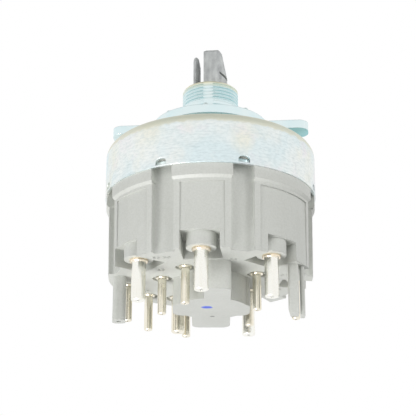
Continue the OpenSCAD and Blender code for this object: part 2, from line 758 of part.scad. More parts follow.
// Die-cast shaft: slotted end with a prong, round bearing length, and the keyed tail
module shaft() color(die_cast) {
    prong_w = 1.85;
    slot_x = -shaft_r + prong_w;
    difference() {
        union() {
            translate([0, 0, tail_top_z]) cylinder(r = shaft_r, h = shaft_top_z - tail_top_z);
            translate([0, 0, disc_top_z]) linear_extrude(tail_top_z - disc_top_z + eps)
                double_flat(tail_r, tail_flat);
            translate([0, 0, tail_end_z]) linear_extrude(disc_top_z - tail_end_z + eps)
                double_flat(end_r, end_half);
        }
        // Flats of the end, with their upper edges broken
        for (s = [0, 180]) rotate([0, 0, s]) {
            translate([-10, end_flat, neck_top_z + 0.6]) cube([20, 5, 30]);
            translate([-10, end_flat - 0.9, shaft_top_z]) rotate([-45, 0, 0]) cube([20, 5, 5]);
        }
        // Broken corners of the lug and of the prong
        end_corner(slot_x + slot_w, shaft_top_z, -1, 0.7);
        end_corner(3.5, shaft_top_z, 1, 0.9);
        end_corner(-shaft_r, prong_top_z, -1, 0.5);
        end_corner(slot_x, prong_top_z, 1, 0.4);
        // Bevel on the prong's inner edge
        translate([0, 0, neck_top_z - 5]) linear_extrude(20)
            polygon([[slot_x - 0.9, -7], [slot_x - 0.9, -3], [slot_x + 0.2, -1.9],
                [slot_x + 0.2, -7]]);
        // The side of the lug tapers in towards its end
        translate([shaft_r + 0.5, -10, neck_top_z + 1.3]) rotate([0, -11, 0]) cube([6, 20, 20]);
        // The narrow prong is shorter than the lug
        translate([-shaft_r - 2, -10, prong_top_z])
            cube([prong_w + slot_w / 2 + 2, 20, shaft_out]);
        // Slot beside the prong
        translate([slot_x, -10, neck_top_z - 6]) cube([slot_w, 20, shaft_out + 20]);
        // Catch notch for the knob
        rotate([90, 0, 0]) linear_extrude(20, center = true)
            polygon([[shaft_r - 2.2, neck_top_z + 4.9], [shaft_r + 1, neck_top_z + 3.7],
                [shaft_r + 1, neck_top_z + 2.4], [shaft_r - 2.0, neck_top_z + 4.3]]);
        // Notches of the pull detent
        for (i = [0:2]) translate([0, -tail_flat - 0.5, pull_ball_z - i * stage])
            rotate([0, 90, 0]) cylinder(r = 1.1, h = 12, center = true);
        // Groove of the retaining ring
        translate([0, 0, clip_z]) difference() {
            cylinder(r = shaft_r, h = clip_t);
            translate([0, 0, -1]) cylinder(r = clip_groove_r, h = clip_t + 2);
        }
    }
}

// Disc that meets the pull-out contacts
module pull_contact_disc() color(brass) {
    translate([0, 0, disc_top_z - disc_t]) linear_extrude(disc_t) difference() {
        circle(r = disc_r);
        double_flat(end_r + 0.02, end_half + 0.02);
    }
}

// Open ring that holds the disc on the tail
module retaining_ring() color(spring_steel) {
    translate([0, 0, clip_z + 0.05]) linear_extrude(clip_t - 0.1) difference() {
        circle(r = disc_r - 0.4);
        circle(r = clip_groove_r + 0.05);
        translate([-1.8, 0]) square([3.6, 10]);
    }
}

cap();
mounting_plate();
neck_bush();
base();
detent_ring();
for (i = [0:4]) main_pin(i);
for (i = [0:7]) signal_pin(i);
for (i = [0:4]) contact_strip(i);
pull_contact(1);  // pull_contact_front
pull_contact(-1);  // pull_contact_back
rotor();
for (i = [0:2]) contact_bridge(i);
for (i = [0:2]) bridge_spring(i);
detent_ball(1);  // detent_ball_1
detent_ball(-1);  // detent_ball_2
detent_spring(1);  // detent_spring_1
detent_spring(-1);  // detent_spring_2
pull_detent_ball();
pull_detent_spring();
detent_band();
shaft();
pull_contact_disc();
retaining_ring();
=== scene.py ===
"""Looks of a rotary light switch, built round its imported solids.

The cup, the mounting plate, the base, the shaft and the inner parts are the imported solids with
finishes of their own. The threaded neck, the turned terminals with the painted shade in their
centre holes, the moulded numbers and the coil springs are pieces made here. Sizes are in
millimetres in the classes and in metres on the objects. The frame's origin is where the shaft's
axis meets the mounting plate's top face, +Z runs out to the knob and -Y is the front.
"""

import json
import logging
import math
from dataclasses import dataclass, field
from enum import Enum
from typing import Any, Callable

import bmesh
import bpy
from mathutils import Matrix, Vector


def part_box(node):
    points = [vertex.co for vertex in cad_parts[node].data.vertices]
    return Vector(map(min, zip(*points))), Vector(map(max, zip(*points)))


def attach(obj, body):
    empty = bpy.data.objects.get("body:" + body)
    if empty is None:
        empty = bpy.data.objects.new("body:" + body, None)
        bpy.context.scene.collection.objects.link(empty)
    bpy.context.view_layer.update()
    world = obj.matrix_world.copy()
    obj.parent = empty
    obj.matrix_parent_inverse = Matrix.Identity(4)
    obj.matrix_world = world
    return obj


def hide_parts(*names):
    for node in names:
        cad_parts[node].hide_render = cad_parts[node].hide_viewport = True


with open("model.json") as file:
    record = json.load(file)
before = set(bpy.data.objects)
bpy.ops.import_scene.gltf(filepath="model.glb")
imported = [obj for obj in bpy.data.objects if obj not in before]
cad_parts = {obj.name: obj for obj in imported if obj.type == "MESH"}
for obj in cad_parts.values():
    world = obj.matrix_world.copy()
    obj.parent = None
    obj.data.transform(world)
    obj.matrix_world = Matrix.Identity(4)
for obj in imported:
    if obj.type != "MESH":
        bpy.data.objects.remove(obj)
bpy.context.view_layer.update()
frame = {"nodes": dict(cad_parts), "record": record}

LOG = logging.getLogger("light_switch")
MM = 0.001
MERGE = 0.0001
WHITE = "#ffffff"
BLACK = "#000000"
METAL_FROM = 0.5
EDGE_SAMPLES = 4
Colour = str | bpy.types.NodeSocket


class Body(Enum):
    """Rigid bodies that the pieces made here ride on."""

    CASE = "switch_case"
    ROTOR = "contact_rotor"


class Slot(Enum):
    """Material slots of the record."""

    SHEET = "zinc_plated_sheet"
    BLUE_ZINC = "blue_passivated_zinc"
    MOULDING = "grey_moulding"
    TINNED = "tinned_brass"
    BRASS = "contact_brass"
    BLACK = "black_moulding"
    BALL = "ball_steel"
    DIE_CAST = "zinc_die_casting"
    SPRING = "spring_steel"


# Helpers


def linear(code: str) -> tuple[float, float, float, float]:
    """Turns an sRGB hex colour into the linear colour that the shaders take.

    Args:
        code: Colour such as "#c8cac4".

    Returns:
        Linear red, green and blue, and an alpha of 1.
    """
    values = [int(code[i : i + 2], 16) / 255 for i in (1, 3, 5)]
    lin = [v / 12.92 if v <= 0.04045 else ((v + 0.055) / 1.055) ** 2.4 for v in values]
    return (lin[0], lin[1], lin[2], 1.0)


def add_node(
    tree: bpy.types.NodeTree, kind: str, inputs: dict[Any, Any] | None = None, **settings: Any
) -> bpy.types.Node:
    """Adds a node with its settings, its input values and its links.

    Args:
        tree: Node tree that gets the node.
        kind: Node type, such as "ShaderNodeTexNoise".
        inputs: Value or output socket for each input, by name or number.
        settings: Properties of the node itself.

    Returns:
        The new node.
    """
    node = tree.nodes.new(kind)
    for name, value in settings.items():
        setattr(node, name, value)
    for key, value in (inputs or {}).items():
        if isinstance(value, bpy.types.NodeSocket):
            tree.links.new(value, node.inputs[key])
        else:
            node.inputs[key].default_value = value
    return node


def polar(angle: float, radius: float) -> tuple[float, float]:
    """Gives the point at an angle in degrees from -Y towards +X, in the radius's unit."""
    a = math.radians(angle)
    return radius * math.sin(a), -radius * math.cos(a)


def box_mm(node: str) -> tuple[Vector, Vector]:
    """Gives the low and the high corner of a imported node, in millimetres."""
    low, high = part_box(node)
    return Vector(low) / MM, Vector(high) / MM


def new_object(name: str, data: bpy.types.ID) -> bpy.types.Object:
    """Links a new object with this mesh, curve, lamp or camera into the scene and returns it."""
    made = bpy.data.objects.new(name, data)
    bpy.context.scene.collection.objects.link(made)
    return made


def mesh_of(name: str, bm: bmesh.types.BMesh, smooth_deg: float = 35.0) -> bpy.types.Object:
    """Turns a bmesh in millimetres into an object in metres with smooth faces.

    Args:
        name: Name of the new object.
        bm: Mesh in millimetres, freed here.
        smooth_deg: Edges that bend by more than this stay sharp.

    Returns:
        The new object, at the origin and unturned.
    """
    bmesh.ops.recalc_face_normals(bm, faces=bm.faces)
    bmesh.ops.scale(bm, vec=Vector((MM, MM, MM)), verts=bm.verts)
    for face in bm.faces:
        face.smooth = True
    limit = math.radians(smooth_deg)
    for edge in bm.edges:
        edge.smooth = edge.is_manifold and edge.calc_face_angle(0.0) < limit
    mesh = bpy.data.meshes.new(name)
    bm.to_mesh(mesh)
    bm.free()
    return new_object(name, mesh)


def lathe(profile: list[tuple[float, float]], sides: int) -> bmesh.types.BMesh:
    """Turns a closed profile round Z into a closed solid.

    Args:
        profile: Radius and height of each point, in order. It starts and ends on the axis.
        sides: Number of sides of the solid.

    Returns:
        The solid, with one point for each point of the profile on the axis.
    """
    bm = bmesh.new()
    rings: list[list[bmesh.types.BMVert]] = []
    for radius, z in profile:
        if radius == 0:
            rings.append([bm.verts.new((0, 0, z))])
            continue
        ring = []
        for k in range(sides):
            a = 2 * math.pi * k / sides
            ring.append(bm.verts.new((radius * math.cos(a), radius * math.sin(a), z)))
        rings.append(ring)
    for low, high in zip(rings, rings[1:]):
        for k in range(sides):
            n = (k + 1) % sides
            if len(low) == 1:
                bm.faces.new((low[0], high[n], high[k]))
            elif len(high) == 1:
                bm.faces.new((low[k], low[n], high[0]))
            else:
                bm.faces.new((low[k], low[n], high[n], high[k]))
    return bm


def arc(cx: float, cz: float, r: float, a0: float, a1: float, n: int) -> list[tuple[float, float]]:
    """Gives the points of an arc in a profile, with angles in degrees from +r towards +z."""
    steps = [math.radians(a0 + (a1 - a0) * i / n) for i in range(n + 1)]
    return [(cx + r * math.cos(a), cz + r * math.sin(a)) for a in steps]


def settle(
    piece: bpy.types.Object, body: Body, stands_for: tuple[str, ...] = ()
) -> None:
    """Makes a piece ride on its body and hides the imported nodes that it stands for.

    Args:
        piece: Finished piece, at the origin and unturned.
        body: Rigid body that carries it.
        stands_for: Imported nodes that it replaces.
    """
    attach(piece, body.value)
    if stands_for:
        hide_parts(*stands_for)
    LOG.info("%s: %d faces on %s", piece.name, len(piece.data.polygons), body.value)


# Finishes


@dataclass(frozen=True)
class Patches:
    """Soft patches in a surface, at the size that the real ones have.

    Attributes:
        size_mm: Size of one patch.
        share: How strongly a patch shows, from 0 to 1.
        span: Noise values between which a patch fades in.
        detail: Octaves of finer noise.
        stretch: How many times finer the patches are along each axis.
    """

    size_mm: float
    share: float = 1.0
    span: tuple[float, float] = (0.3, 0.7)
    detail: float = 3.0
    stretch: tuple[float, float, float] = (1.0, 1.0, 1.0)


@dataclass(frozen=True)
class Finish:
    """Common part of all finishes: a surface with its grain, and edges that are slightly broken.

    Attributes:
        name: Material name.
        colour: Base colour, sRGB hex.
        roughness: Mean roughness.
        metallic: 1 for a bare metal, 0 for plastic.
        ior: Index of refraction, left at the default for metals.
        grain_mm: Size of the grain in the surface.
        grain_height_mm: Height of that grain.
        edge_mm: Radius to which sharp edges are broken.
        mottle: Patches in which the plain colour darkens.
        mottle_dark: How much it darkens there.
        sheen: Patches in which the roughness changes.
        sheen_low: How far the roughness falls below its mean.
        sheen_high: How far it rises above it.
    """

    name: str
    colour: str
    roughness: float
    metallic: float = 0.0
    ior: float = 1.5
    grain_mm: float = 0.4
    grain_height_mm: float = 0.01
    edge_mm: float = 0.15
    mottle: Patches = Patches(6.0)
    mottle_dark: float = 0.06
    sheen: Patches = Patches(3.0)
    sheen_low: float = 0.05
    sheen_high: float = 0.05

    def noise(
        self, tree: bpy.types.NodeTree, coords: bpy.types.NodeSocket, patches: Patches
    ) -> bpy.types.NodeSocket:
        """Adds noise of a real size.

        Args:
            tree: Material's node tree.
            coords: Object coordinates, in metres.
            patches: Size, detail and stretch of the noise.

        Returns:
            The noise factor, about 0.5 on average.
        """
        mapping = add_node(
            tree, "ShaderNodeMapping", {"Vector": coords, "Scale": patches.stretch}
        )
        texture = add_node(
            tree, "ShaderNodeTexNoise",
            {"Vector": mapping.outputs["Vector"], "Scale": 1.0 / (patches.size_mm * MM),
             "Detail": patches.detail},
        )
        return texture.outputs["Fac"]

    def remap(
        self, tree: bpy.types.NodeTree, value: bpy.types.NodeSocket, low: float, high: float,
        span: tuple[float, float] = (0.3, 0.7),
    ) -> bpy.types.NodeSocket:
        """Maps a value within the span to low..high and returns the result."""
        node = add_node(
            tree, "ShaderNodeMapRange",
            {"Value": value, "From Min": span[0], "From Max": span[1],
             "To Min": low, "To Max": high},
        )
        return node.outputs["Result"]

    def blend(
        self, tree: bpy.types.NodeTree, factor: float | bpy.types.NodeSocket,
        first: Colour, second: Colour,
    ) -> bpy.types.NodeSocket:
        """Mixes two colours, each a hex code or a socket, and returns the result."""
        node = add_node(tree, "ShaderNodeMix", data_type="RGBA")
        for key, value in ((0, factor), (6, first), (7, second)):
            if isinstance(value, bpy.types.NodeSocket):
                tree.links.new(value, node.inputs[key])
            else:
                node.inputs[key].default_value = linear(value) if isinstance(value, str) else value
        return node.outputs[2]

    def layer(
        self, tree: bpy.types.NodeTree, coords: bpy.types.NodeSocket, under: Colour,
        patches: Patches, over: Colour,
    ) -> bpy.types.NodeSocket:
        """Lays patches of one colour over another.

        Args:
            tree: Material's node tree.
            coords: Object coordinates, in metres.
            under: Colour below, a hex code or a socket.
            patches: Patches of the colour above.
            over: Colour above, a hex code or a socket.

        Returns:
            The mixed colour.
        """
        factor = self.remap(
            tree, self.noise(tree, coords, patches), 0.0, patches.share, patches.span
        )
        return self.blend(tree, factor, under, over)

    def axis(
        self, tree: bpy.types.NodeTree, vector: bpy.types.NodeSocket, letter: str
    ) -> bpy.types.NodeSocket:
        """Gives the X, Y or Z of a vector."""
        return add_node(tree, "ShaderNodeSeparateXYZ", {"Vector": vector}).outputs[letter]

    def product(
        self, tree: bpy.types.NodeTree, first: bpy.types.NodeSocket, second: bpy.types.NodeSocket
    ) -> bpy.types.NodeSocket:
        """Multiplies two values and returns the result."""
        node = add_node(tree, "ShaderNodeMath", {0: first, 1: second}, operation="MULTIPLY")
        return node.outputs["Value"]

    def tint(
        self, tree: bpy.types.NodeTree, coords: bpy.types.NodeSocket
    ) -> bpy.types.NodeSocket:
        """Gives the surface colour: here the base colour with a faint mottle."""
        darker = self.blend(tree, self.mottle_dark, self.colour, BLACK)
        return self.layer(tree, coords, darker, self.mottle, self.colour)

    def gloss(
        self, tree: bpy.types.NodeTree, coords: bpy.types.NodeSocket
    ) -> bpy.types.NodeSocket:
        """Gives the roughness, slightly uneven."""
        return self.remap(
            tree, self.noise(tree, coords, self.sheen),
            self.roughness - self.sheen_low, self.roughness + self.sheen_high,
        )

    def relief(
        self, tree: bpy.types.NodeTree, coords: bpy.types.NodeSocket
    ) -> bpy.types.NodeSocket:
        """Gives the height of the grain, from 0 to 1."""
        return self.noise(tree, coords, Patches(self.grain_mm, detail=2.0))

    def material(self) -> bpy.types.Material:
        """Builds the material once and returns it."""
        made = bpy.data.materials.get(self.name)
        if made:
            return made
        made = bpy.data.materials.new(self.name)
        made.use_nodes = True
        tree = made.node_tree
        tree.nodes.clear()
        coords = add_node(tree, "ShaderNodeTexCoord").outputs["Object"]
        broken = add_node(
            tree, "ShaderNodeBevel", {"Radius": self.edge_mm * MM}, samples=EDGE_SAMPLES
        ).outputs["Normal"]
        bump = add_node(
            tree, "ShaderNodeBump",
            {"Strength": 1.0, "Distance": self.grain_height_mm * MM,
             "Height": self.relief(tree, coords), "Normal": broken},
        )
        shader = add_node(
            tree, "ShaderNodeBsdfPrincipled",
            {"Base Color": self.tint(tree, coords), "Roughness": self.gloss(tree, coords),
             "Metallic": self.metallic, "Normal": bump.outputs["Normal"]},
        )
        if self.metallic < METAL_FROM:
            shader.inputs["IOR"].default_value = self.ior
        add_node(tree, "ShaderNodeOutputMaterial", {"Surface": shader.outputs["BSDF"]})
        made.diffuse_color = linear(self.colour)
        return made


@dataclass(frozen=True)
class Spot:
    """An oval spot on the end of the base's centre hub, in millimetres.

    Attributes:
        place: X and Y of its centre.
        half: Half its length and half its width.
        colour: Its colour, sRGB hex.
    """

    place: tuple[float, float]
    half: tuple[float, float]
    colour: str


@dataclass(frozen=True)
class MouldedGrey(Finish):
    """Glass-filled polyester moulding: satin, evenly grey, with flow marks and fibres.

    The blue inspection dot and the gate's scar are on the end of the centre hub.
    """

    shade: str = "#b9bbb4"
    flow: Patches = Patches(9.0, 0.45, detail=4.0, stretch=(1.0, 1.0, 0.4))
    fibres: Patches = Patches(0.5, 0.12, detail=2.0)
    spots: tuple[Spot, ...] = (
        Spot((-0.95, -0.45), (1.75, 1.25), "#3f5fe0"), Spot((-0.25, 9.2), (0.75, 0.6), "#7c7d78"),
    )
    hub_end_z: float = -56.4
    spot_reach: float = 0.5
    rag_scale: float = 1.6
    rag: float = 0.7
    spot_rim: tuple[float, float] = (1.15, 1.4)

    def mask(
        self, tree: bpy.types.NodeTree, coords: bpy.types.NodeSocket, spot: Spot
    ) -> bpy.types.NodeSocket:
        """Gives the mask of a spot on the hub's end.

        Args:
            tree: Material's node tree.
            coords: Object coordinates.
            spot: Place and size of the spot.

        Returns:
            1 inside the spot, 0 outside, with a narrow ragged rim.
        """
        centre = (*spot.place, self.hub_end_z)
        half = (*spot.half, self.spot_reach)
        mapping = add_node(
            tree, "ShaderNodeMapping",
            {"Vector": coords, "Location": tuple(v * MM for v in centre),
             "Scale": tuple(v * MM for v in half)},
            vector_type="TEXTURE",
        ).outputs["Vector"]
        ragged = add_node(
            tree, "ShaderNodeTexNoise", {"Vector": mapping, "Scale": self.rag_scale}
        )
        length = add_node(tree, "ShaderNodeVectorMath", {0: mapping}, operation="LENGTH")
        uneven = add_node(
            tree, "ShaderNodeMath",
            {0: ragged.outputs["Fac"], 1: self.rag, 2: length.outputs["Value"]},
            operation="MULTIPLY_ADD",
        )
        return self.remap(tree, uneven.outputs["Value"], 1.0, 0.0, self.spot_rim)

    def tint(
        self, tree: bpy.types.NodeTree, coords: bpy.types.NodeSocket
    ) -> bpy.types.NodeSocket:
        """Gives the grey with flow marks, fibres, the ink dot and the gate's scar."""
        grey = self.layer(tree, coords, self.colour, self.flow, self.shade)
        grey = self.layer(tree, coords, grey, self.fibres, WHITE)
        for spot in self.spots:
            grey = self.blend(tree, self.mask(tree, coords, spot), grey, spot.colour)
        return grey


@dataclass(frozen=True)
class PlatedSheet(Finish):
    """Zinc plated deep drawn steel: bright and cloudy, with a straw tint round the shoulder that
    is partly painted shade on the shoulder's round.
    """

    sheen: Patches = Patches(3.0, detail=4.0, stretch=(1.0, 1.0, 5.0))
    sheen_low: float = 0.09
    sheen_high: float = 0.1
    cool: str = "#e2f0f3"
    cool_clouds: Patches = Patches(14.0, 0.9, (0.42, 0.62), 5.0)
    warm: str = "#f4f1e2"
    warm_clouds: Patches = Patches(11.0, 0.7, (0.52, 0.7), 4.0, (1.0, 1.3, 0.8))
    rosy: str = "#f2eaee"
    rosy_clouds: Patches = Patches(8.0, 0.6, (0.54, 0.68), 4.0, (0.9, 1.0, 1.2))
    scratch: str = "#b4c4c6"
    crystals: Patches = Patches(1.1, 0.26, (0.42, 0.66), 5.0, (1.0, 1.0, 2.0))
    drawing_lines: Patches = Patches(2.4, 0.3, (0.5, 0.75), 4.0, (0.6, 0.6, 9.0))
    # Straw tint darker than the zinc: partly a real tint, partly painted shade on the shoulder's
    # round
    straw: str = "#dfdecb"
    straw_share: float = 0.8
    band_z: float = -10.8
    band_soft: float = 0.6
    band_ragged: Patches = Patches(2.0, detail=4.0)
    band_rise: float = 1.6
    crown_r: float = 25.0
    crown_share: float = 0.15
    rim_r: float = 28.5

    def shoulder(
        self, tree: bpy.types.NodeTree, coords: bpy.types.NodeSocket
    ) -> bpy.types.NodeSocket:
        """Gives the share of the straw tint with its painted shade: full round the shoulder, faint
        on the crown, none below.
        """
        edge = add_node(
            tree, "ShaderNodeMath",
            {0: self.noise(tree, coords, self.band_ragged), 1: self.band_rise * MM,
             2: self.axis(tree, coords, "Z")},
            operation="MULTIPLY_ADD",
        ).outputs["Value"]
        above = self.remap(
            tree, edge, 0.0, self.straw_share,
            (self.band_z * MM, (self.band_z + self.band_soft) * MM),
        )
        flat = add_node(
            tree, "ShaderNodeVectorMath", {0: coords, 1: (1.0, 1.0, 0.0)}, operation="MULTIPLY"
        ).outputs["Vector"]
        radius = add_node(tree, "ShaderNodeVectorMath", {0: flat}, operation="LENGTH")
        outward = self.remap(
            tree, radius.outputs["Value"], self.crown_share, 1.0,
            (self.crown_r * MM, self.rim_r * MM),
        )
        return self.product(tree, above, outward)

    def tint(
        self, tree: bpy.types.NodeTree, coords: bpy.types.NodeSocket
    ) -> bpy.types.NodeSocket:
        """Gives the zinc with cool, warm and rosy clouds, its grain and the straw tint with
        painted shade round the shoulder.
        """
        zinc = self.layer(tree, coords, self.colour, self.cool_clouds, self.cool)
        zinc = self.layer(tree, coords, zinc, self.warm_clouds, self.warm)
        zinc = self.layer(tree, coords, zinc, self.rosy_clouds, self.rosy)
        zinc = self.layer(tree, coords, zinc, self.crystals, self.scratch)
        zinc = self.layer(tree, coords, zinc, self.drawing_lines, self.scratch)
        return self.blend(tree, self.shoulder(tree, coords), zinc, self.straw)

    def relief(
        self, tree: bpy.types.NodeTree, coords: bpy.types.NodeSocket
    ) -> bpy.types.NodeSocket:
        """Gives the shallow orange peel of the plating with its drawing lines."""
        return self.noise(tree, coords, Patches(self.grain_mm, stretch=(1.0, 1.0, 2.5)))


@dataclass(frozen=True)
class BluePassivate(Finish):
    """Blue passivated zinc: pale ice blue, with painted shade on the undersides: a deeper teal
    where the faces point down.
    """

    pale: str = "#f1f6f4"
    pale_clouds: Patches = Patches(5.0, 0.5, detail=4.0)
    # Painted shade: the deeper teal that faces pointing down get, stronger towards +X
    painted_underside_shade: str = "#9fd0d4"
    underside: tuple[float, float] = (-0.9, -0.3)
    underside_shade_x_span: tuple[float, float] = (-15.0, 15.0)
    underside_shade_least: float = 0.1
    straw: str = "#efe6c2"
    straw_share: float = 0.85
    straw_from_z: float = 10.0
    straw_ramp: float = 1.5

    def tint(
        self, tree: bpy.types.NodeTree, coords: bpy.types.NodeSocket
    ) -> bpy.types.NodeSocket:
        """Gives the blue, the painted shade on the undersides and the straw rim of the neck."""
        blue = self.layer(tree, coords, self.colour, self.pale_clouds, self.pale)
        # Painted shade on the undersides: faces whose normals point down turn teal, more so
        # towards +X
        normal = add_node(tree, "ShaderNodeNewGeometry").outputs["Normal"]
        under = self.remap(tree, self.axis(tree, normal, "Z"), 1.0, 0.0, self.underside)
        low, high = self.underside_shade_x_span
        side = self.remap(
            tree, self.axis(tree, coords, "X"), self.underside_shade_least, 1.0, (low * MM, high * MM)
        )
        blue = self.blend(tree, self.product(tree, under, side), blue, self.painted_underside_shade)
        rim = self.remap(
            tree, self.axis(tree, coords, "Z"), 0.0, self.straw_share,
            (self.straw_from_z * MM, (self.straw_from_z + self.straw_ramp) * MM),
        )
        return self.blend(tree, rim, blue, self.straw)


@dataclass(frozen=True)
class TinnedBrass(Finish):
    """Turned brass with a thin bright tin coat that thins to gold next to the flange."""

    worn: str = "#e3dcc4"
    streaks: Patches = Patches(1.3, 0.3, (0.2, 0.8), 3.0, (1.0, 1.0, 0.12))
    ring: str = "#f3dcb8"
    ring_share: float = 0.7
    flange_z: float = -47.1
    reach_mm: float = 0.7

    def tint(
        self, tree: bpy.types.NodeTree, coords: bpy.types.NodeSocket
    ) -> bpy.types.NodeSocket:
        """Gives the tin with worn streaks along the pin and a warm ring by the flange."""
        tin = self.layer(tree, coords, self.colour, self.streaks, self.worn)
        ring = self.remap(
            tree, self.axis(tree, coords, "Z"), 0.0, self.ring_share,
            ((self.flange_z - self.reach_mm) * MM, self.flange_z * MM),
        )
        return self.blend(tree, ring, tin, self.ring)


@dataclass(frozen=True)
class DieCast(Finish):
    """Pressure die-cast zinc: dull grey skin with flow lines and fine pits."""

    flow_grey: str = "#8a8c8e"
    flow: Patches = Patches(1.6, 0.6, detail=4.0, stretch=(1.0, 1.0, 0.45))
    pit_grey: str = "#5b5d60"
    pits: Patches = Patches(0.35, 0.3, (0.6, 0.75), 2.0)

    def tint(
        self, tree: bpy.types.NodeTree, coords: bpy.types.NodeSocket
    ) -> bpy.types.NodeSocket:
        """Gives the grey skin with darker flow lines and pits."""
        skin = self.layer(tree, coords, self.colour, self.flow, self.flow_grey)
        return self.layer(tree, coords, skin, self.pits, self.pit_grey)


FINISHES: dict[Slot, Finish] = {
    # Drawn steel cup, bright zinc plated: brighter than bare steel, soft broken reflections
    Slot.SHEET: PlatedSheet(
        "bright_zinc_plated_drawn_steel", "#f2f6f4", 0.42, 1.0,
        grain_mm=1.1, grain_height_mm=0.03, edge_mm=0.25,
    ),
    # Turned and stamped parts, zinc plated and blue passivated: ice blue satin
    Slot.BLUE_ZINC: BluePassivate(
        "blue_passivated_zinc_plate", "#dceff2", 0.33, 1.0,
        grain_mm=0.6, grain_height_mm=0.012, edge_mm=0.3,
    ),
    # Glass-filled polyester, injection moulded: satin light grey
    Slot.MOULDING: MouldedGrey(
        "glass_filled_polyester_moulding", "#c9cbc5", 0.46, 0.0, 1.56,
        grain_mm=0.3, grain_height_mm=0.006, edge_mm=0.3,
    ),
    # Turned brass, tin plated: silvery, with a little brass where the tin has worn
    Slot.TINNED: TinnedBrass(
        "tinned_turned_brass", "#fbfbf6", 0.26, 1.0,
        grain_mm=0.35, grain_height_mm=0.006, edge_mm=0.1,
    ),
    # Stamped brass strip: rolled sheen
    Slot.BRASS: Finish(
        "stamped_brass_strip", "#d0a850", 0.3, 1.0, grain_mm=0.5, grain_height_mm=0.004,
        edge_mm=0.08,
    ),
    # Acetal, injection moulded: black with a waxy gloss
    Slot.BLACK: Finish(
        "black_acetal_moulding", "#2c2c2e", 0.38, 0.0, 1.48, grain_mm=0.3, grain_height_mm=0.004,
    ),
    # Hardened bearing steel, ground and polished
    Slot.BALL: Finish(
        "polished_bearing_steel", "#d9dbdd", 0.12, 1.0, grain_mm=0.4, grain_height_mm=0.001,
        edge_mm=0.02,
    ),
    # Zinc, pressure die cast: dull grey with a casting skin
    Slot.DIE_CAST: DieCast(
        "pressure_die_cast_zinc", "#d2d5d4", 0.55, 0.6, grain_mm=0.3, grain_height_mm=0.02,
        edge_mm=0.3,
    ),
    # Patented spring wire and strip: drawn, dark grey sheen
    Slot.SPRING: Finish(
        "drawn_spring_steel", "#8f9296", 0.34, 1.0, grain_mm=0.25, grain_height_mm=0.004,
        edge_mm=0.04,
    ),
}

# Turned brass under thinner tin, on the terminals in recesses: more of the brass comes through
THIN_TIN = TinnedBrass(
    "thinly_tinned_turned_brass", "#faf6ea", 0.24, 1.0,
    grain_mm=0.35, grain_height_mm=0.006, edge_mm=0.1, worn="#d8ceb0",
    streaks=Patches(1.3, 0.55, (0.2, 0.8), 3.0, (1.0, 1.0, 0.12)), ring="#fffdf6",
)

# Painted shade in the lathe's centre holes: a dark dull brass colour on a plug in each hole stands
# for the shade deep inside it
CENTRE_HOLE_SHADE = Finish(
    "painted_centre_hole_shade", "#4a453c", 0.6, 0.4, grain_mm=0.2, grain_height_mm=0.004, edge_mm=0.05,
)


# Geometry Nodes


@dataclass
class NodePiece:
    """A piece made by Geometry Nodes and turned into a plain mesh.

    Attributes:
        name: Name of the piece.
        finish: Finish that its Set Material node gives it.
        sockets: Identifier of each named input, filled by start().
    """

    name: str
    finish: Finish
    sockets: dict[str, str] = field(default_factory=dict)

    def start(self, inputs: dict[str, tuple[str, Any]]) -> bpy.types.NodeTree:
        """Starts a tree with a geometry input and named inputs for the sizes.

        Args:
            inputs: Socket type and value of each size, by name.

        Returns:
            The new tree, with its sockets in place.
        """
        tree = bpy.data.node_groups.new(self.name, "GeometryNodeTree")
        face = tree.interface
        face.new_socket("Geometry", in_out="INPUT", socket_type="NodeSocketGeometry")
        for label, (kind, _) in inputs.items():
            made = face.new_socket(label, in_out="INPUT", socket_type=kind)
            self.sockets[label] = made.identifier
        face.new_socket("Geometry", in_out="OUTPUT", socket_type="NodeSocketGeometry")
        return tree

    def bake(
        self, tree: bpy.types.NodeTree, last: bpy.types.NodeSocket, host: bpy.types.Object,
        inputs: dict[str, tuple[str, Any]],
    ) -> bpy.types.Object:
        """Closes the tree, runs it on the host and keeps the result as a plain mesh.

        Args:
            tree: Tree that start() gave.
            last: Socket with the finished geometry.
            host: Object that carries the modifier.
            inputs: Socket type and value of each size, by name.

        Returns:
            The host, with the plain mesh and no modifier.
        """
        real = add_node(tree, "GeometryNodeRealizeInstances", {"Geometry": last})
        dressed = add_node(
            tree, "GeometryNodeSetMaterial",
            {"Geometry": real.outputs["Geometry"], "Material": self.finish.material()},
        )
        add_node(tree, "NodeGroupOutput", {0: dressed.outputs["Geometry"]})
        modifier = host.modifiers.new(self.name, "NODES")
        modifier.node_group = tree
        for label, (_, value) in inputs.items():
            modifier[self.sockets[label]] = value
        bpy.context.view_layer.update()
        graph = bpy.context.evaluated_depsgraph_get()
        mesh = bpy.data.meshes.new_from_object(host.evaluated_get(graph), depsgraph=graph)
        host.modifiers.remove(modifier)
        old = host.data
        host.data = mesh
        bpy.data.meshes.remove(old)
        return host


